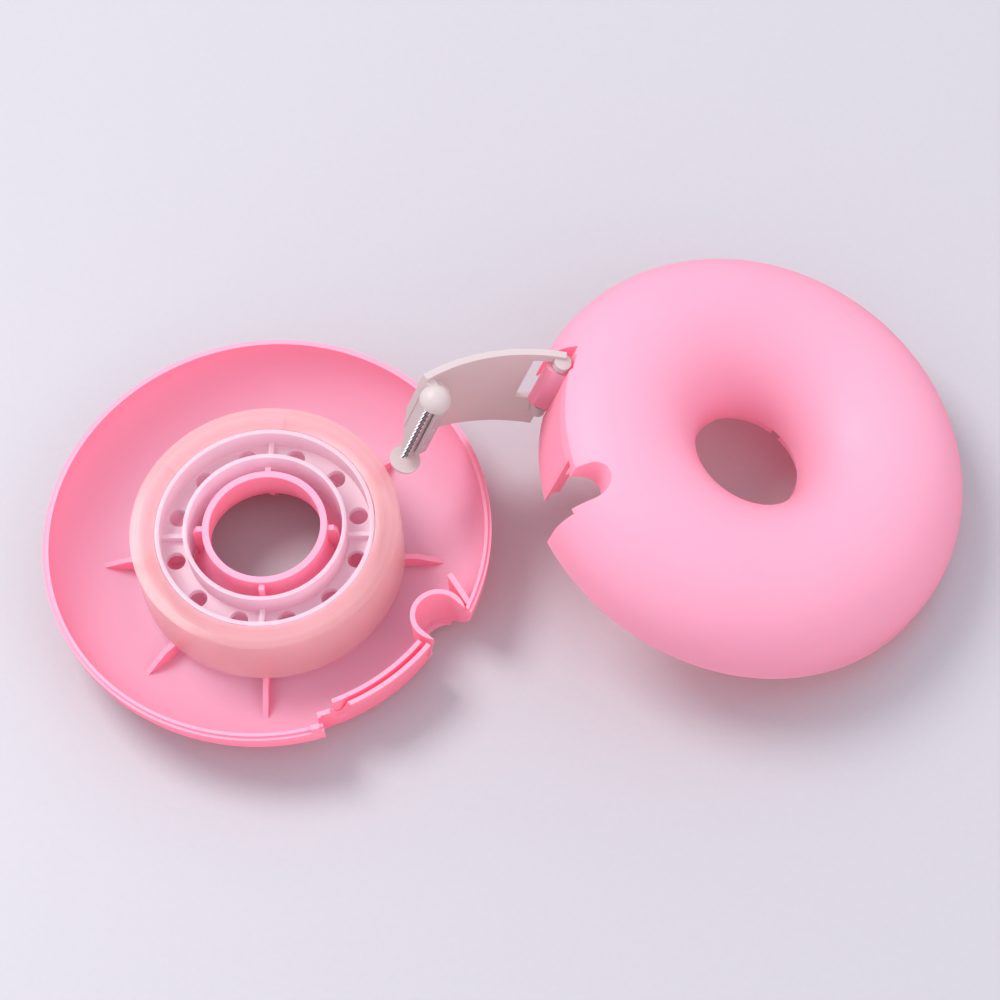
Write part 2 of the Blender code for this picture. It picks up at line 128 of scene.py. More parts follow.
# The cutter arm, modelled closed and then swung open about its pin
PIN_ANGLE = 161.5
PIN_REACH = 37.3
PIN_RADIUS = 0.8
PIN_BORE = 0.9
BOSS_RADIUS = 1.5
BOSS_BOTTOM = -4.2
POCKET_RADIUS = 2.3
ARM_THICKNESS = 1.2
ARM_REACH = 38.5
ARM_TOP = 13.2
ARM_BOTTOM = -10.0
ARM_END = 201.15
ARM_START = 160.8
SLOT_BOTTOM, SLOT_TOP = -1.6, 11.2
LUG_BOTTOM, LUG_TOP = -1.2, 10.8
ARM_OPEN = 75.3
BALL_RADIUS = 2.76
BALL_TOP = 10.6
BALL_BOTTOM = -10.4
BALL_BOTTOM_DEPTH = 2.3
BLADE_HALF_LENGTH = 9.1
BLADE_TEETH = 13
TOOTH_PITCH = 2 * BLADE_HALF_LENGTH / BLADE_TEETH
BLADE_THICKNESS = 0.4
BLADE_BACK = -3.3
TOOTH_ROOT, TOOTH_TIP = 0.5, 1.6

# Fineness of the curves, and how edges are treated
CIRCLE_STEPS = 64
HOLE_STEPS = 40
CAPSULE_STEPS = 20
BALL_STEPS = 18
WELD = 0.002
SHARP_ANGLE = 38
BEVEL_ANGLE = 40

# Ridges on the window wall
RIDGE_COUNT = 23
RIDGE_FIRST, RIDGE_PITCH, RIDGE_HEIGHT = -1.6, 0.56, 0.26
RIDGE_STARTS = (166.6, 166.0)
RIDGE_END = 190.8
RIDGE_ROOT, RIDGE_PROUD = 0.2, 0.13

# Flutes ground across the blade, one for each tooth
FLUTE_SLANT = 0.9
FLUTE_DEPTH = 0.2
FLUTE_START = -0.2
FLUTE_FADE = 0.15
FACE_INSET = 0.02
POINTS_PER_TOOTH = 12
POINTS_ACROSS = 24

# The camera's place, from the lower shell's centre, and its lens
CAMERA_OFFSET = (53.94, -290.73, 546.8)
CAMERA_RIGHT = (0.99572, -0.07038, -0.05993)
CAMERA_UP = (0.09033, 0.87843, 0.46926)
LENS, SENSOR = 126.0, 36.0

# Colours, as linear (red, green, blue), and how much light the plastics let through
PINK_LOW, PINK_HIGH, PINK_GLOW = (0.99, 0.72, 0.97), (1.0, 0.76, 1.0), (1.0, 0.03, 0.22)
PINK_SHARE = 0.57
WHITE_LOW, WHITE_HIGH, WHITE_GLOW = (0.60, 0.575, 0.575), (0.635, 0.61, 0.61), (1.0, 0.72, 0.66)
WHITE_SHARE = 0.3
MILKY_LOW, MILKY_HIGH, MILKY_GLOW = (0.84, 0.76, 0.81), (0.88, 0.81, 0.85), (1.0, 0.72, 0.85)
MILKY_SHARE = 0.35
MILKY_ALPHA = 0.6
FILM_LOW, FILM_HIGH, FILM_GLOW = (0.84, 0.46, 0.44), (0.88, 0.61, 0.60), (1.0, 0.82, 0.80)
FILM_SHARE = 0.25
FILM_ALPHA = 0.38
# The third steel colour is painted shade: near black, put into the blade's flutes where their shadow falls.
STEEL_LOW, STEEL_HIGH, FLUTE_PAINTED_SHADE = (0.62, 0.61, 0.62), (0.90, 0.89, 0.90), (0.03, 0.025, 0.03)
BLACK, WHOLE_WHITE = (0.0, 0.0, 0.0), (1.0, 1.0, 1.0)
FLOOR_LOW, FLOOR_HIGH = (0.437, 0.426, 0.458), (0.446, 0.435, 0.467)
SKY, SKY_STRENGTH = (0.93, 0.92, 1.0, 1.0), 1.14

# How far each piece's edges are rounded
SHELL_ROUND = 0.18
ARM_ROUND = 0.15
ROLL_ROUND = 0.12
CLAMP_ROUND = 0.1
PIN_ROUND = 0.08


def metres(point):
    return Vector(point) * MM


def polar(reach, angle, z=0.0):
    turn = math.radians(angle)
    return Vector((reach * math.cos(turn), reach * math.sin(turn), z))


def new_collection(name):
    collection = bpy.data.collections.new(name)
    bpy.context.scene.collection.children.link(collection)
    return collection


def add_object(name, mesh, collection, parent):
    thing = bpy.data.objects.new(name, mesh)
    collection.objects.link(thing)
    thing.parent = parent
    return thing


def add_bmesh(name, bm, collection, parent):
    mesh = bpy.data.meshes.new(name)
    bm.to_mesh(mesh)
    bm.free()
    return add_object(name, mesh, collection, parent)


def turned(name, profile, collection, parent):
    """A closed profile of (radius, z) points turned about Z by a Screw modifier."""
    mesh = bpy.data.meshes.new(name)
    points = [metres((radius, 0.0, z)) for radius, z in profile]
    edges = [(i, (i + 1) % len(points)) for i in range(len(points))]
    mesh.from_pydata(points, edges, [])
    thing = add_object(name, mesh, collection, parent)
    screw = thing.modifiers.new("turn", "SCREW")
    screw.axis = "Z"
    screw.angle = math.tau
    screw.steps = TURN_STEPS
    screw.render_steps = TURN_STEPS
    screw.use_merge_vertices = True
    screw.merge_threshold = 0.00001
    return thing


def outline_bmesh(outline, low, high):
    """The solid between two heights above a flat anticlockwise outline of (x, y) points."""
    bm = bmesh.new()
    ring = [bm.verts.new(metres((x, y, low))) for x, y in outline]
    bottom = bm.faces.new(ring)
    raised = bmesh.ops.extrude_face_region(bm, geom=[bottom])["geom"]
    tops = [item for item in raised if isinstance(item, bmesh.types.BMVert)]
    bmesh.ops.translate(bm, verts=tops, vec=metres((0, 0, high - low)))
    bmesh.ops.recalc_face_normals(bm, faces=bm.faces)
    return bm


def block(name, outline, low, high, collection, parent, turn=None):
    """An extruded outline; turn is an optional matrix in metres that places it."""
    bm = outline_bmesh(outline, low, high)
    if turn is not None:
        bm.transform(turn)
    return add_bmesh(name, bm, collection, parent)


def sector(inner, outer, start, end):
    """Outline of a ring sector, with a point about every degree."""
    count = max(2, round(abs(end - start)) + 1)
    angles = [start + (end - start) * i / (count - 1) for i in range(count)]
    far = [polar(outer, angle).xy for angle in angles]
    near = [polar(inner, angle).xy for angle in reversed(angles)]
    return far + near


def leaning_sector(name, inner, outer, lean, low, high, start, end, collection, parent):
    """A ring sector whose radii are those at z = 0 and grow by lean for each millimetre of height."""
    bm = bmesh.new()
    rings = []
    for z in (low, high):
        outline = sector(inner + lean * z, outer + lean * z, start, end)
        rings.append([bm.verts.new(metres((x, y, z))) for x, y in outline])
        bm.faces.new(rings[-1])
    for i, (below, above) in enumerate(zip(*rings)):
        bm.faces.new([rings[0][i - 1], below, above, rings[1][i - 1]])
    bmesh.ops.recalc_face_normals(bm, faces=bm.faces)
    return add_bmesh(name, bm, collection, parent)


def circle(centre, radius, count=CIRCLE_STEPS):
    return [centre + polar(radius, 360.0 * i / count).xy for i in range(count)]


def capsule(start, end, radius):
    """Outline of a slot with round ends."""
    heading = math.degrees(math.atan2(end.y - start.y, end.x - start.x))
    turns = [180 * i / CAPSULE_STEPS for i in range(CAPSULE_STEPS + 1)]
    far = [end + polar(radius, heading - 90 + turn).xy for turn in turns]
    near = [start + polar(radius, heading + 90 + turn).xy for turn in turns]
    return far + near


def upright(origin, heading, thickness):
    """Placement of a plate drawn as (along, up) points and extruded by its thickness."""
    lay = Matrix.Translation(metres((origin.x, origin.y, 0.0)))
    lay = lay @ Matrix.Rotation(math.radians(heading), 4, "Z")
    lay = lay @ Matrix.Rotation(math.radians(90), 4, "X")
    return lay @ Matrix.Translation(metres((0, 0, -thickness / 2)))


def plate(name, outline, thickness, origin, heading, collection, parent):
    turn = upright(origin, heading, thickness)
    return block(name, outline, 0.0, thickness, collection, parent, turn)


def boolean(target, tool, operation):
    modifier = target.modifiers.new(f"{operation.lower()} {tool.name}", "BOOLEAN")
    modifier.operation = operation
    modifier.solver = "EXACT"
    modifier.object = tool


def dome_points(half, height, base, start, end):
    """Points on the quarter or half ellipse over the ring radius, from angle start to end."""
    count = round(abs(end - start) / 90 * DOME_STEPS)
    points = []
    for i in range(count + 1):
        angle = math.radians(start + (end - start) * i / count)
        points.append((RING_RADIUS + half * math.cos(angle), base + height * math.sin(angle)))
    return points


def notch_centre(angle):
    return polar(NOTCH_REACH, angle).xy


def notch_slot(angle, radius):
    """Outline of the bite that lets the arm's tip swing out of the notch."""
    centre = notch_centre(angle)
    return capsule(centre, centre + polar(9.0, angle + NOTCH_EXIT_TURN).xy, radius)


def lower_shell(parts, cutters, frame):
    """The half with the hub post, floor ribs, arm window, notch wall and fin."""
    outer = dome_points(RING_HALF, LOWER_DEPTH, 0.0, 0, -180)
    foot = [(FOOT_RADIUS + FOOT_HALF, -LOWER_DEPTH), (FOOT_RADIUS - FOOT_HALF, -LOWER_DEPTH)]
    outer = outer[:DOME_STEPS] + foot + outer[DOME_STEPS + 1 :]
    inner = dome_points(RING_HALF - WALL, LOWER_DEPTH - WALL, 0.0, -180, 0)
    lip_outer, lip_inner = SHELL_RADIUS - HALF_WALL, SHELL_RADIUS - WALL
    post = [(THROAT_RADIUS, POST_TOP), (THROAT_RADIUS + WALL, POST_TOP)]
    lip = [(lip_inner, TONGUE), (lip_outer, TONGUE), (lip_outer, 0.0)]
    shell = turned("lower_shell", outer + post + inner + lip, parts, frame)

    hollow = dome_points(RING_HALF - HALF_WALL, LOWER_DEPTH - HALF_WALL, 0.0, 0, -180)
    space = turned("lower_space", hollow, cutters, frame)
    back = WINDOW_START - SHELL_TURN
    tip = WINDOW_END - SHELL_TURN
    ledge_end = LEDGE_END - SHELL_TURN
    inside = []
    rib = [(10.0, RIB_TOP), (10.0, UNDER_LOWER), (32.3, UNDER_LOWER), (32.3, -12.0), (26.0, RIB_TOP)]
    for angle in (0, 45, 90, 135, 180, 225, 270):
        name = f"rib_{angle}"
        heading = angle + RIB_TURN
        inside.append(plate(name, rib, PLATE_THICKNESS, Vector((0, 0)), heading, cutters, frame))
    guide = sector(34.4, 35.2, back + 4.4, ledge_end)
    inside.append(block("low_guide", guide, UNDER_LOWER, -0.6, cutters, frame))
    radii = LOW_WINDOW_RADIUS - 0.85, LOW_WINDOW_RADIUS + 0.3
    heights = UNDER_LOWER, -0.1
    span = back - 0.7, ledge_end + 0.4
    lean = LOW_WINDOW_LEAN
    inside.append(leaning_sector("low_window_wall", *radii, lean, *heights, *span, cutters, frame))
    notch = NOTCH_ANGLE - SHELL_TURN
    notch_wall = circle(notch_centre(notch), NOTCH_BODY_RADIUS + NOTCH_WALL)
    inside.append(block("low_notch_wall", notch_wall, UNDER_LOWER, -0.15, cutters, frame))
    fin = [(0.0, -0.1), (0.0, -14.0), (7.4, -14.0), (7.4, -0.4)]
    fin_angle = tip + 4.2
    root, heading = polar(FIN_REACH, fin_angle).xy, fin_angle + FIN_HEADING
    inside.append(plate("low_fin", fin, PLATE_THICKNESS, root, heading, cutters, frame))
    for piece in inside:
        boolean(piece, space, "INTERSECT")
        boolean(shell, piece, "UNION")
    gusset = [(10.7, 2.4), (10.7, -5.0), (12.9, -9.5), (12.9, 1.2), (12.2, 2.4)]
    for angle in (0, 90, 180, 270):
        name = f"gusset_{angle}"
        heading = angle + RIB_TURN + SEAM_NUDGE
        piece = plate(name, gusset, PLATE_THICKNESS, Vector((0, 0)), heading, cutters, frame)
        boolean(shell, piece, "UNION")
    tab = block("low_tab", sector(38.95, 39.85, back - 3.2, back - 1.0), -2.0, 1.3, cutters, frame)
    boolean(shell, tab, "UNION")

    radii = LOW_WINDOW_RADIUS, 52.0
    window = leaning_sector("low_window", *radii, lean, -20, 5, back, tip, cutters, frame)
    boolean(shell, window, "DIFFERENCE")
    pin = polar(PIN_REACH, PIN_ANGLE - SHELL_TURN).xy
    pocket = block("low_pocket", circle(pin, BOSS_RADIUS + 0.42), BOSS_BOTTOM - 0.65, 5, cutters, frame)
    boolean(shell, pocket, "DIFFERENCE")
    body_slot = notch_slot(notch, NOTCH_BODY_RADIUS)
    body = block("low_notch_body", body_slot, NOTCH_BODY_BOTTOM, 5, cutters, frame)
    boolean(shell, body, "DIFFERENCE")
    tip_slot = notch_slot(notch, NOTCH_RADIUS)
    boolean(shell, block("low_notch", tip_slot, -20, 4, cutters, frame), "DIFFERENCE")
    return shell


def upper_shell(parts, cutters, frame):
    """The half with the window wall, the notch and the hinge lug."""
    outer = dome_points(RING_HALF, UPPER_DOME, UPPER_BAND, 90, 0)
    recess = [
        (SHELL_RADIUS, 0.0),
        (SHELL_RADIUS - 0.45, 0.0),
        (SHELL_RADIUS - 0.45, TONGUE + 0.3),
        (SHELL_RADIUS - WALL, TONGUE + 0.3),
    ]
    inner = dome_points(RING_HALF - WALL, UPPER_DOME - WALL, UPPER_BAND, 0, 180)
    inner = [point for point in inner if point[0] > COLLAR_RADIUS + 0.3]
    collar = [
        (COLLAR_RADIUS, 10.0),
        (COLLAR_RADIUS, 0.0),
        (COLLAR_BORE, 0.0),
        (COLLAR_BORE, POST_TOP + 0.3),
        (THROAT_RADIUS, POST_TOP + 0.3),
    ]
    throat = dome_points(RING_HALF, UPPER_DOME, UPPER_BAND, 180, 90)[:-1]
    shell = turned("upper_shell", outer + recess + inner + collar + throat, parts, frame)

    for angle in (0, 90, 180, 270):
        slot = [(11.25, -1.0), (13.6, -1.0), (13.6, 2.9), (11.25, 2.9)]
        heading = angle + RIB_TURN + SHELL_TURN
        cut = plate(f"collar_slot_{angle}", slot, 1.7, Vector((0, 0)), heading, cutters, frame)
        boolean(shell, cut, "DIFFERENCE")
    half, height = RING_HALF - HALF_WALL, UPPER_DOME - HALF_WALL
    hollow = dome_points(half, height, UPPER_BAND, 90, 0)
    hollow += [(SHELL_RADIUS - HALF_WALL, LEDGE_BOTTOM), (12.0, LEDGE_BOTTOM)]
    hollow += dome_points(half, height, UPPER_BAND, 180, 90)[1:-1]
    space = turned("upper_space", hollow, cutters, frame)
    start = WINDOW_START - 1.5
    ledge = block("up_ledge", sector(34.0, 37.2, start, LEDGE_END), -6, 25, cutters, frame)
    notch_wall = circle(notch_centre(NOTCH_ANGLE), NOTCH_BODY_RADIUS + NOTCH_WALL)
    for piece in (ledge, block("up_notch_wall", notch_wall, UPPER_NOTCH_BOTTOM, 25, cutters, frame)):
        boolean(piece, space, "INTERSECT")
        boolean(shell, piece, "UNION")

    window = sector(RECESS_RADIUS, 46.0, WINDOW_START, WINDOW_END)
    boolean(shell, block("up_window", window, -8, 25, cutters, frame), "DIFFERENCE")
    tongue = sector(30.0, 35.4, start - 3, LEDGE_END + 3)
    boolean(shell, block("up_tongue_cut", tongue, -8, -0.05, cutters, frame), "DIFFERENCE")
    body_slot = notch_slot(NOTCH_ANGLE, NOTCH_BODY_RADIUS)
    boolean(shell, block("up_notch_body", body_slot, -8, 10.5, cutters, frame), "DIFFERENCE")
    tip_slot = notch_slot(NOTCH_ANGLE, NOTCH_RADIUS)
    boolean(shell, block("up_notch", tip_slot, -9, 26, cutters, frame), "DIFFERENCE")
    pin = polar(PIN_REACH, PIN_ANGLE).xy
    boolean(shell, block("up_pocket", circle(pin, POCKET_RADIUS), -10, 14.2, cutters, frame), "DIFFERENCE")
    root = polar(34.7, PIN_ANGLE).xy
    lug_end = polar(PIN_REACH + 1.0, PIN_ANGLE).xy
    lug = block("up_lug", capsule(root, lug_end, BOSS_RADIUS), LUG_BOTTOM, LUG_TOP, cutters, frame)
    boolean(shell, lug, "UNION")
    boolean(shell, block("up_pin_bore", circle(pin, PIN_BORE), -5, 12, cutters, frame), "DIFFERENCE")
    return shell


def tape_core(parts, cutters, frame):
    """The perforated core: two rings, the web between them with its holes, and four spokes."""
    top, bottom = ROLL_BOTTOM + TAPE_WIDTH, ROLL_BOTTOM
    web_bottom = WEB_TOP - WEB_THICKNESS
    inner_ring, outer_ring = CORE_BORE + CORE_RING, CORE_RADIUS - CORE_RING
    profile = [
        (CORE_RADIUS, top),
        (CORE_RADIUS, bottom),
        (outer_ring, bottom),
        (outer_ring, web_bottom),
        (inner_ring, web_bottom),
        (inner_ring, CORE_BORE_BOTTOM),
        (CORE_BORE, CORE_BORE_BOTTOM),
        (CORE_BORE, top),
        (inner_ring, top),
        (inner_ring, WEB_TOP),
        (outer_ring, WEB_TOP),
        (outer_ring, top),
    ]
    core = turned("tape_core", profile, parts, frame)
    low, high = WEB_TOP - 0.6, WEB_TOP + 1.4
    spoke = [(14.3, low), (19.1, low), (19.1, high), (14.3, high)]
    for angle in (0, 90, 180, 270):
        name = f"spoke_{angle}"
        heading = angle + RIB_TURN + SEAM_NUDGE
        piece = plate(name, spoke, 0.9, Vector((0, 0)), heading, cutters, frame)
        boolean(core, piece, "UNION")
    middle = (inner_ring + outer_ring) / 2
    for i in range(WEB_HOLES):
        centre = polar(middle, (i + 0.5) * 360 / WEB_HOLES + RIB_TURN).xy
        hole = block(f"web_hole_{i}", circle(centre, WEB_HOLE_RADIUS, HOLE_STEPS), -5, 2.4, cutters, frame)
        boolean(core, hole, "DIFFERENCE")
    return core


def tape_roll(parts, frame):
    top = ROLL_BOTTOM + TAPE_WIDTH
    outside = [(ROLL_RADIUS, top), (ROLL_RADIUS, ROLL_BOTTOM)]
    profile = outside + [(ROLL_BORE, ROLL_BOTTOM), (ROLL_BORE, top)]
    return turned("tape_roll", profile, parts, frame)


def half_ball(name, depth, up, height, cutters, frame):
    """Half of a squashed ball round the notch centre, its flat face at the given height."""
    angles = [math.pi / (2 * BALL_STEPS) * i for i in range(BALL_STEPS + 1)]
    quarter = [(BALL_RADIUS * math.cos(a), depth * math.sin(a)) for a in angles]
    quarter[-1] = (0.0, depth)
    if up:
        profile = [(0.0, depth)] + quarter[-2::-1] + [(0.0, 0.0)]
    else:
        profile = [(0.0, 0.0)] + [(radius, -z) for radius, z in quarter[:-1]] + [(0.0, -depth)]
    bm = bmesh.new()
    verts = [bm.verts.new(metres((radius, 0, z))) for radius, z in profile]
    edges = [bm.edges.new(pair) for pair in zip(verts, verts[1:])]
    turn = {"cent": (0, 0, 0), "axis": (0, 0, 1), "angle": math.tau, "use_merge": True}
    bmesh.ops.spin(bm, geom=verts + edges, steps=CIRCLE_STEPS, **turn)
    bmesh.ops.remove_doubles(bm, verts=bm.verts, dist=0.000001)
    bmesh.ops.recalc_face_normals(bm, faces=bm.faces)
    centre = notch_centre(NOTCH_ANGLE)
    bmesh.ops.translate(bm, verts=bm.verts, vec=metres((centre.x, centre.y, height)))
    return add_bmesh(name, bm, cutters, frame)


def tip_block(along_low, along_high, out_low, out_high):
    """Outline beside the notch centre: along is towards the arm's tip, out is away from the donut's axis."""
    centre = notch_centre(NOTCH_ANGLE)
    along, out = polar(1.0, NOTCH_ANGLE + 90).xy, polar(1.0, NOTCH_ANGLE).xy
    corners = [
        (along_low, out_low),
        (along_low, out_high),
        (along_high, out_high),
        (along_high, out_low),
    ]
    return [centre + along * a + out * b for a, b in corners]


def cutter_arm(parts, cutters, closed):
    """The arm in its closed place; closed is the frame whose origin is the donut's axis."""
    inner = ARM_REACH - ARM_THICKNESS / 2
    outer = ARM_REACH + ARM_THICKNESS / 2
    band = sector(inner, outer, ARM_START, ARM_END)
    arm = block("cutter_arm", band, ARM_BOTTOM, ARM_TOP, parts, closed)
    pin = polar(PIN_REACH, PIN_ANGLE).xy
    slot = sector(inner - 4, outer + 2, ARM_START - 4, PIN_ANGLE + 7.4)
    neck = tip_block(-1.5, 0.06, 0.0, 3.55)
    low_neck = tip_block(-2.2, -0.5, 0.0, 1.1)
    pad = tip_block(-3.6, -0.04, 0.35, 3.5)
    taper = [(4.8, 3.4), (1.2, -11.0), (4.8, -11.0)]
    taper_place = notch_centre(NOTCH_ANGLE) + polar(-1.0, NOTCH_ANGLE + 90).xy
    web = capsule(pin, polar(inner - 0.3, PIN_ANGLE).xy, BOSS_RADIUS)
    boolean(arm, block("arm_boss", web, BOSS_BOTTOM, 12.6, cutters, closed), "UNION")
    boolean(arm, block("arm_pad", pad, -10.4, 10.2, cutters, closed), "UNION")
    cut = plate("arm_taper", taper, 6.0, taper_place, NOTCH_ANGLE, cutters, closed)
    boolean(arm, cut, "DIFFERENCE")
    boolean(arm, block("arm_neck_top", neck, 9.7, 12.3, cutters, closed), "UNION")
    boolean(arm, block("arm_neck_low", low_neck, -11.5, -9.6, cutters, closed), "UNION")
    boolean(arm, half_ball("ball_top", BALL_RADIUS, True, BALL_TOP, cutters, closed), "UNION")
    boolean(arm, half_ball("ball_low", BALL_BOTTOM_DEPTH, False, BALL_BOTTOM, cutters, closed), "UNION")
    boolean(arm, block("arm_slot", slot, SLOT_BOTTOM, SLOT_TOP, cutters, closed), "DIFFERENCE")
    boolean(arm, block("arm_bore", circle(pin, PIN_BORE), -3.4, 12.0, cutters, closed), "DIFFERENCE")
    return arm


def blade_clamp(parts, cutters, closed):
    """The bar that holds the blade, with its three recesses."""
    low, high = -BLADE_HALF_LENGTH, BLADE_HALF_LENGTH
    bar = block("blade_clamp", tip_block(-3.6, -1.3, -0.95, -0.35), low, high, parts, closed)
    for i in (-1, 0, 1):
        dimple = tip_block(-3.0, -1.9, -1.5, -0.75)
        cut = block(f"clamp_recess_{i}", dimple, 6.0 * i - 0.9, 6.0 * i + 0.9, cutters, closed)
        boolean(bar, cut, "DIFFERENCE")
    return bar


def hinge_pin(parts, frame):
    pin = polar(PIN_REACH, PIN_ANGLE).xy
    return block("hinge_pin", circle(pin, PIN_RADIUS), -3.1, 11.7, parts, frame)


def add_frame(name, collection, location, rotation, parent=None):
    frame = bpy.data.objects.new(name, None)
    collection.objects.link(frame)
    frame.parent = parent
    frame.rotation_mode = "QUATERNION"
    frame.location = metres(location)
    frame.rotation_quaternion = rotation.to_quaternion()
    return frame


# Building the visible pieces


def clean(mesh):
    """Welds doubled points, and drops tiny folds and loose points that the cuts leave."""
    bm = bmesh.new()
    bm.from_mesh(mesh)
    bmesh.ops.remove_doubles(bm, verts=bm.verts, dist=WELD * MM)
    bmesh.ops.dissolve_degenerate(bm, edges=bm.edges, dist=WELD * MM)
    folds = [face for face in bm.faces if all(len(edge.link_faces) > 2 for edge in face.edges)]
    bmesh.ops.delete(bm, geom=folds, context="FACES")
    loose = [vert for vert in bm.verts if not vert.link_faces]
    bmesh.ops.delete(bm, geom=loose, context="VERTS")
    bm.to_mesh(mesh)
    bm.free()


def settle(work, body, material, bevel=0.0, flat=False):
    """Turns a modelled piece into plain mesh in the row frame, and puts it on a body."""
    if bevel:
        rounded = work.modifiers.new("round", "BEVEL")
        rounded.width = bevel * MM
        rounded.segments = 2
        rounded.limit_method = "ANGLE"
        rounded.angle_limit = math.radians(BEVEL_ANGLE)
        rounded.miter_outer = "MITER_ARC"
        rounded.harden_normals = False
    bpy.context.view_layer.update()
    graph = bpy.context.evaluated_depsgraph_get()
    mesh = bpy.data.meshes.new_from_object(work.evaluated_get(graph))
    clean(mesh)
    mesh.transform(work.matrix_world)
    piece = bpy.data.objects.new(f"{work.name.split('.')[0]}_look", mesh)
    bpy.context.scene.collection.objects.link(piece)
    piece.data.materials.clear()
    piece.data.materials.append(material)
    if not flat:
        piece.data.shade_smooth()
        piece.data.set_sharp_from_angle(angle=math.radians(SHARP_ANGLE))
    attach(piece, body)
    return piece


def shader_nodes(name):
    """A new material with its node tree and its Principled shader."""
    material = bpy.data.materials.new(name)
    material.use_nodes = True
    tree = material.node_tree
    return material, tree, tree.nodes["Principled BSDF"]


def add_node(tree, kind, **inputs):
    node = tree.nodes.new(kind)
    set_inputs(node, **inputs)
    return node


def set_inputs(node, **inputs):
    """Sets sockets by name, with _ for each space."""
    for key, value in inputs.items():
        node.inputs[key.replace("_", " ")].default_value = value


def math_node(tree, kind, operation, *values):
    """A Math or Vector Math node; the values fill its sockets from the second on."""
    node = tree.nodes.new(f"ShaderNode{kind}")
    node.operation = operation
    for i, value in enumerate(values, 1):
        node.inputs[i].default_value = value
    return node


def ramp_between(tree, factor, low, high, start=0.3, end=0.7):
    """A colour that goes from low to high as the factor goes from start to end."""
    ramp = tree.nodes.new("ShaderNodeValToRGB")
    ramp.color_ramp.elements[0].position = start
    ramp.color_ramp.elements[0].color = (*low, 1.0)
    ramp.color_ramp.elements[1].position = end
    ramp.color_ramp.elements[1].color = (*high, 1.0)
    tree.links.new(factor, ramp.inputs["Fac"])
    return ramp.outputs["Color"]


def noise(tree, coords, scale, detail):
    node = add_node(tree, "ShaderNodeTexNoise", Scale=scale, Detail=detail, Roughness=0.55)
    tree.links.new(coords, node.inputs["Vector"])
    return node.outputs["Fac"]


def bump(tree, height, strength, distance, before=None):
    node = add_node(tree, "ShaderNodeBump", Strength=strength, Distance=distance)
    tree.links.new(height, node.inputs["Height"])
    if before is not None:
        tree.links.new(before, node.inputs["Normal"])
    return node.outputs["Normal"]


def moulded(name, low, high, rough, coat=0.0):
    """Moulded plastic: a slow drift in colour, a spark-eroded grain and a slight waviness."""
    material, tree, shader = shader_nodes(name)
    coords = tree.nodes.new("ShaderNodeTexCoord").outputs["Object"]
    drift = noise(tree, coords, 28.0, 2.0)
    tree.links.new(ramp_between(tree, drift, low, high), shader.inputs["Base Color"])
    rub = noise(tree, coords, 160.0, 4.0)
    span = add_node(tree, "ShaderNodeMapRange", To_Min=rough - 0.05, To_Max=rough + 0.06)
    tree.links.new(rub, span.inputs["Value"])
    tree.links.new(span.outputs["Result"], shader.inputs["Roughness"])
    grain = bump(tree, noise(tree, coords, 1400.0, 2.0), 0.6, 0.012 * MM)
    wavy = bump(tree, noise(tree, coords, 60.0, 1.0), 0.25, 0.06 * MM, grain)
    tree.links.new(wavy, shader.inputs["Normal"])
    set_inputs(shader, Coat_Weight=coat, Coat_Roughness=0.3)
    return material


def let_light_through(material, colour, share):
    """Mixes in light that comes through a thin wall from its other side, in the given colour."""
    tree = material.node_tree
    shader = tree.nodes["Principled BSDF"]
    glow = add_node(tree, "ShaderNodeBsdfTranslucent", Color=(*colour, 1.0))
    mix = add_node(tree, "ShaderNodeMixShader", Fac=share)
    tree.links.new(shader.outputs["BSDF"], mix.inputs[1])
    tree.links.new(glow.outputs["BSDF"], mix.inputs[2])
    tree.links.new(mix.outputs["Shader"], tree.nodes["Material Output"].inputs["Surface"])


def rings_at(tree, reach, **inputs):
    """Noise that changes only with the distance from the roll's axis."""
    rings = tree.nodes.new("ShaderNodeTexNoise")
    rings.noise_dimensions = "1D"
    set_inputs(rings, **inputs)
    tree.links.new(reach, rings.inputs["W"])
    return rings.outputs["Fac"]


def wound_film(axis):
    """Clear tape wound in a roll: fine rings on the ends, faint turns and bubbles, peach in depth."""
    material, tree, shader = shader_nodes("wound clear film")
    coords = tree.nodes.new("ShaderNodeTexCoord").outputs["Object"]
    from_axis = math_node(tree, "VectorMath", "MULTIPLY_ADD", (1.0, 1.0, 0.0), (-axis.x, -axis.y, 0.0))
    tree.links.new(coords, from_axis.inputs[0])
    reach = math_node(tree, "VectorMath", "LENGTH")
    tree.links.new(from_axis.outputs["Vector"], reach.inputs[0])
    rings = rings_at(tree, reach.outputs["Value"], Scale=1900.0, Detail=4.0)
    wide = rings_at(tree, reach.outputs["Value"], Scale=700.0)
    blotch = noise(tree, coords, 45.0, 3.0)
    both = math_node(tree, "Math", "ADD")
    tree.links.new(rings, both.inputs[0])
    tree.links.new(wide, both.inputs[1])
    share = math_node(tree, "Math", "MULTIPLY", 0.24)
    tree.links.new(blotch, share.inputs[0])
    total = math_node(tree, "Math", "MULTIPLY_ADD", 0.38)
    tree.links.new(both.outputs["Value"], total.inputs[0])
    tree.links.new(share.outputs["Value"], total.inputs[2])
    colour = ramp_between(tree, total.outputs["Value"], FILM_LOW, FILM_HIGH, 0.34, 0.66)
    tree.links.new(colour, shader.inputs["Base Color"])
    tree.links.new(bump(tree, rings, 0.8, 0.04 * MM), shader.inputs["Normal"])
    set_inputs(shader, Roughness=0.16, Alpha=FILM_ALPHA, Coat_Weight=0.35, Coat_Roughness=0.08)
    set_inputs(shader, Subsurface_Weight=0.3, Subsurface_Radius=(1.0, 0.6, 0.5))
    set_inputs(shader, Subsurface_Scale=0.003)
    return material


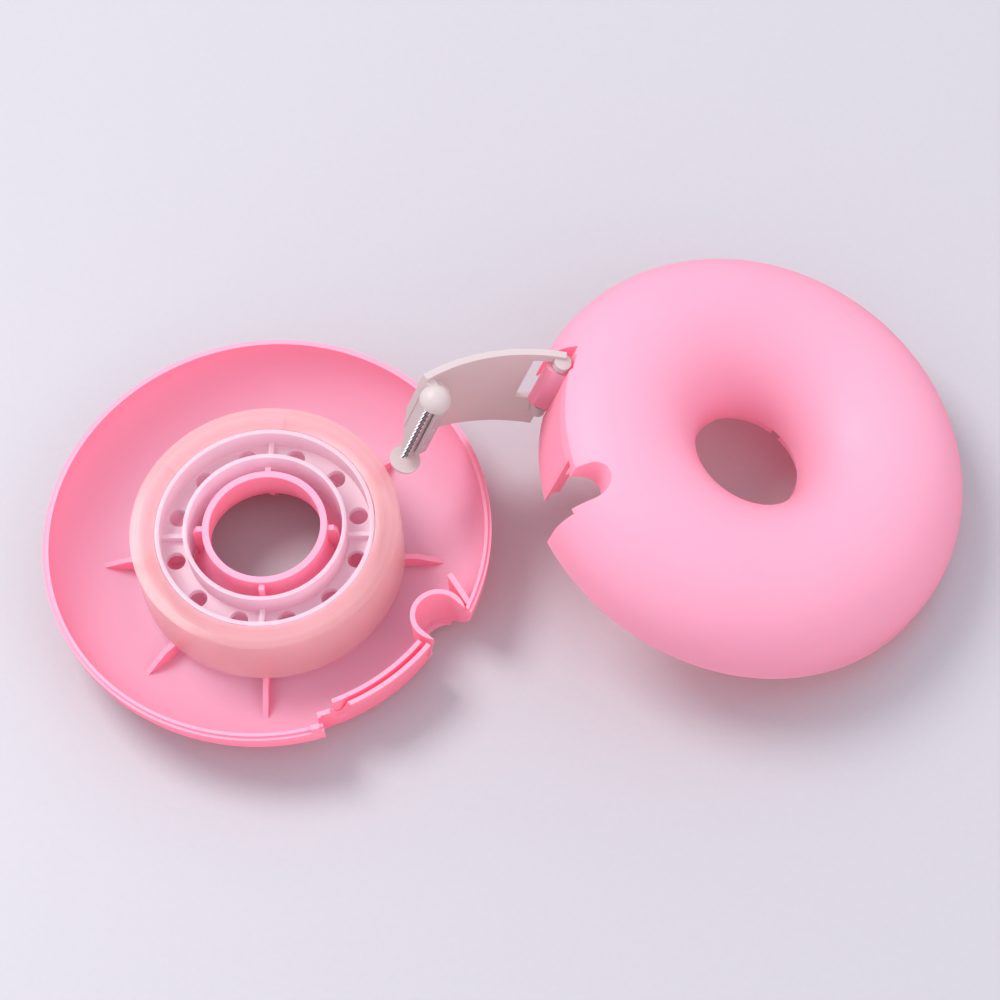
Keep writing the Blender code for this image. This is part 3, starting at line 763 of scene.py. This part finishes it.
def ramp_of_distance(tree, coords, direction, offset, scale):
    """The offset, plus scale times how far a point lies along the direction, in metres."""
    dot = math_node(tree, "VectorMath", "DOT_PRODUCT", direction)
    tree.links.new(coords, dot.inputs[0])
    line = math_node(tree, "Math", "MULTIPLY_ADD", scale, offset)
    tree.links.new(dot.outputs["Value"], line.inputs[0])
    return line.outputs["Value"]


def brushed_steel(name):
    """Ground steel with fine lines: the material, its tree, shader and coordinates, and its colour."""
    material, tree, shader = shader_nodes(name)
    coords = tree.nodes.new("ShaderNodeTexCoord").outputs["Object"]
    stretch = math_node(tree, "VectorMath", "MULTIPLY", (1.0, 1.0, 0.06))
    tree.links.new(coords, stretch.inputs[0])
    lines = noise(tree, stretch.outputs["Vector"], 5200.0, 4.0)
    steel = ramp_between(tree, lines, STEEL_LOW, STEEL_HIGH)
    tree.links.new(bump(tree, lines, 0.4, 0.01 * MM), shader.inputs["Normal"])
    set_inputs(shader, Metallic=1.0, Roughness=0.24)
    return material, tree, shader, coords, steel


def ground_steel():
    material, tree, shader, _, steel = brushed_steel("ground steel")
    tree.links.new(steel, shader.inputs["Base Color"])
    return material


def blade_steel_with_painted_light(place):
    """The blade's steel, with slanted stripes of painted light along its toothed edge: near black painted
    shade in the flutes and white painted highlight between them; place is the blade's placement.
    """
    material, tree, shader, coords, steel = brushed_steel("fluted blade steel")
    along, up = place.col[0].xyz.normalized(), place.col[1].xyz.normalized()
    start = place.translation
    pitch = TOOTH_PITCH * MM
    slant = up + along * FLUTE_SLANT
    shift = -start.dot(slant) / pitch + BLADE_HALF_LENGTH * MM / pitch
    turns = ramp_of_distance(tree, coords, slant, shift, 1 / pitch)
    part = math_node(tree, "Math", "FRACT")
    tree.links.new(turns, part.inputs[0])
    # Painted light on the teeth: near black painted shade in each flute, white painted highlight on the
    # steel between the flutes.
    painted_flute_light = ramp_between(tree, part.outputs["Value"], FLUTE_PAINTED_SHADE, WHOLE_WHITE, 0.3, 0.38)
    edge = ramp_of_distance(tree, coords, along, -FLUTE_START - start.dot(along) / MM, 1 / MM)
    limit = ramp_between(tree, edge, BLACK, WHOLE_WHITE, 0.05, 0.15)
    teeth_with_painted_light = tree.nodes.new("ShaderNodeMix")
    teeth_with_painted_light.data_type = "RGBA"
    tree.links.new(limit, teeth_with_painted_light.inputs["Factor"])
    tree.links.new(steel, teeth_with_painted_light.inputs[6])
    tree.links.new(painted_flute_light, teeth_with_painted_light.inputs[7])
    tree.links.new(teeth_with_painted_light.outputs[2], shader.inputs["Base Color"])
    shine = add_node(tree, "ShaderNodeMapRange", To_Min=1.0, To_Max=0.25)
    tree.links.new(limit, shine.inputs["Value"])
    tree.links.new(shine.outputs["Result"], shader.inputs["Metallic"])
    return material


def pale_floor():
    material, tree, shader = shader_nodes("pale floor")
    coords = tree.nodes.new("ShaderNodeTexCoord").outputs["Object"]
    speck = noise(tree, coords, 900.0, 2.0)
    tree.links.new(ramp_between(tree, speck, FLOOR_LOW, FLOOR_HIGH), shader.inputs["Base Color"])
    set_inputs(shader, Roughness=0.42, Specular_IOR_Level=0.35)
    return material


def triangle_wave(turns):
    """1 at each whole number and 0 halfway between."""
    return abs((turns % 1.0) * 2 - 1)


def blade_place():
    return upright(notch_centre(NOTCH_ANGLE), NOTCH_ANGLE + 90, BLADE_THICKNESS)


def blade_piece(collection, closed):
    """The toothed strip with slanted flutes ground across one side of it, one for each tooth."""
    count = BLADE_TEETH * POINTS_PER_TOOTH
    turn = blade_place()
    bm = bmesh.new()
    grid = {}
    for side in (0, 1):
        for i in range(count + 1):
            up = -BLADE_HALF_LENGTH + TOOTH_PITCH * i / POINTS_PER_TOOTH
            edge = TOOTH_TIP - (TOOTH_TIP - TOOTH_ROOT) * triangle_wave(i / POINTS_PER_TOOTH)
            for j in range(POINTS_ACROSS + 1):
                along = BLADE_BACK + (edge - BLADE_BACK) * j / POINTS_ACROSS
                in_flute = triangle_wave((up + FLUTE_SLANT * along) / TOOTH_PITCH) > 0.5
                fade = max(0.0, min(1.0, (along - FLUTE_START) / FLUTE_FADE))
                depth = FLUTE_DEPTH * fade if in_flute else 0.0
                z = FACE_INSET + depth if side == 0 else BLADE_THICKNESS - FACE_INSET
                grid[side, i, j] = bm.verts.new(turn @ metres((along, up, z)))

    def face(*corners):
        bm.faces.new([grid[corner] for corner in corners])

    for i in range(count):
        for j in range(POINTS_ACROSS):
            face((1, i, j), (1, i, j + 1), (1, i + 1, j + 1), (1, i + 1, j))
            face((0, i, j), (0, i + 1, j), (0, i + 1, j + 1), (0, i, j + 1))
        for j in (0, POINTS_ACROSS):
            face((0, i, j), (1, i, j), (1, i + 1, j), (0, i + 1, j))
    for j in range(POINTS_ACROSS):
        for i in (0, count):
            face((0, i, j), (0, i, j + 1), (1, i, j + 1), (1, i, j))
    bmesh.ops.recalc_face_normals(bm, faces=bm.faces)
    return add_bmesh("blade", bm, collection, closed)


def tape_ridges(collection, frame):
    """Fine level ridges on the upper shell's window wall, where the cut end of the tape is held."""
    bm = bmesh.new()
    inner, outer = RECESS_RADIUS - RIDGE_ROOT, RECESS_RADIUS + RIDGE_PROUD
    for i in range(RIDGE_COUNT):
        low = RIDGE_FIRST + RIDGE_PITCH * i
        outline = sector(inner, outer, RIDGE_STARTS[i % 2], RIDGE_END)
        ridge = outline_bmesh(outline, low, low + RIDGE_HEIGHT)
        mesh = bpy.data.meshes.new("ridge")
        ridge.to_mesh(mesh)
        ridge.free()
        bm.from_mesh(mesh)
        bpy.data.meshes.remove(mesh)
    return add_bmesh("tape_ridges", bm, collection, frame)


def add_light(name, location, size, power, colour):
    """A round lamp that points at the middle of the floor."""
    data = bpy.data.lights.new(name, "AREA")
    data.shape = "DISK"
    data.size = size
    data.energy = power
    data.color = colour
    light = bpy.data.objects.new(name, data)
    bpy.context.scene.collection.objects.link(light)
    light.location = location
    light.rotation_euler = (-Vector(location)).to_track_quat("-Z", "Y").to_euler()


def add_camera(axis):
    """The camera, placed from the lower shell's axis at the level of its rim."""
    data = bpy.data.cameras.new("camera")
    data.lens = LENS
    data.sensor_width = SENSOR
    data.clip_start = 0.01
    camera = bpy.data.objects.new("camera", data)
    bpy.context.scene.collection.objects.link(camera)
    right, up = Vector(CAMERA_RIGHT), Vector(CAMERA_UP)
    turn = Matrix((right, up, right.cross(up))).transposed().to_4x4()
    camera.matrix_world = Matrix.Translation(axis + metres(CAMERA_OFFSET)) @ turn
    bpy.context.scene.camera = camera


def add_studio():
    """The pale floor, the even sky and two soft lamps."""
    bpy.ops.mesh.primitive_plane_add(size=3.0, location=(0, 0, 0))
    floor = bpy.context.object
    floor.name = "floor"
    floor.data.materials.append(pale_floor())
    world = bpy.data.worlds.new("studio")
    world.use_nodes = True
    set_inputs(world.node_tree.nodes["Background"], Color=SKY, Strength=SKY_STRENGTH)
    bpy.context.scene.world = world
    bpy.context.scene.view_settings.view_transform = "Standard"
    add_light("key", (-0.45, 0.35, 0.9), 0.5, 7.4, (1.0, 0.985, 0.97))
    add_light("fill", (0.7, -0.6, 0.8), 0.8, 2.0, (0.97, 0.97, 1.0))


def piece_frames(parts):
    """The frames that the shells and the closed arm are modelled in, from the joints' axes."""
    joints = {joint["name"]: joint for joint in frame["record"]["behaviour"]["joints"]}
    axis = Vector(joints["roll_spin"]["pos_m"])
    hinge_axis = Vector(joints["arm_swing"]["axis"])
    yaw = math.atan2(hinge_axis.y, hinge_axis.x)
    tilt = math.acos(hinge_axis.z)
    turn = Matrix.Rotation(yaw, 3, "Z") @ Matrix.Rotation(tilt, 3, "Y")
    pin = polar(PIN_REACH, PIN_ANGLE)
    centre = Vector(joints["arm_swing"]["pos_m"]) - turn @ metres(pin)
    swing = Matrix.Rotation(math.radians(-ARM_OPEN), 3, "Z")
    lower = add_frame("lower_frame", parts, axis / MM, Matrix.Identity(3))
    upper = add_frame("upper_frame", parts, centre / MM, turn)
    hinge = add_frame("arm_hinge", parts, pin, swing, upper)
    closed = add_frame("arm_closed_axis", parts, -pin, Matrix.Identity(3), hinge)
    return axis, lower, upper, closed


def main():
    parts = new_collection("work_parts")
    cutters = new_collection("work_cutters")
    axis, lower, upper, closed = piece_frames(parts)

    pink = moulded("pink moulded plastic", PINK_LOW, PINK_HIGH, 0.46)
    let_light_through(pink, PINK_GLOW, PINK_SHARE)
    white = moulded("white moulded plastic", WHITE_LOW, WHITE_HIGH, 0.38)
    let_light_through(white, WHITE_GLOW, WHITE_SHARE)
    milky = moulded("milky core plastic", MILKY_LOW, MILKY_HIGH, 0.3, coat=0.2)
    set_inputs(milky.node_tree.nodes["Principled BSDF"], Alpha=MILKY_ALPHA)
    let_light_through(milky, MILKY_GLOW, MILKY_SHARE)

    shell = lower_shell(parts, cutters, lower)
    look = settle(shell, "lower", pink, SHELL_ROUND)
    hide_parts("lower_shell")
    shell = upper_shell(parts, cutters, upper)
    look = settle(shell, "upper", pink, SHELL_ROUND)
    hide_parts("upper_shell")
    settle(tape_ridges(parts, upper), "upper", pink, flat=True)
    look = settle(tape_core(parts, cutters, lower), "tape", milky, ROLL_ROUND)
    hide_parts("tape_core")
    film = wound_film(axis)
    let_light_through(film, FILM_GLOW, FILM_SHARE)
    look = settle(tape_roll(parts, lower), "tape", film, ROLL_ROUND)
    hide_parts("tape_roll")
    look = settle(cutter_arm(parts, cutters, closed), "arm", white, ARM_ROUND)
    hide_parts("cutter_arm")
    steel = ground_steel()
    painted_light_blade_steel = blade_steel_with_painted_light(closed.matrix_world @ blade_place())
    look = settle(blade_piece(parts, closed), "arm", painted_light_blade_steel, flat=True)
    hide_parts("blade")
    look = settle(blade_clamp(parts, cutters, closed), "arm", white, CLAMP_ROUND)
    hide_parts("blade_clamp")
    look = settle(hinge_pin(parts, upper), "upper", steel, PIN_ROUND)
    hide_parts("hinge_pin")

    for collection in (parts, cutters):
        for thing in list(collection.objects):
            bpy.data.objects.remove(thing, do_unlink=True)
        bpy.data.collections.remove(collection)
    add_studio()
    add_camera(axis)


main()
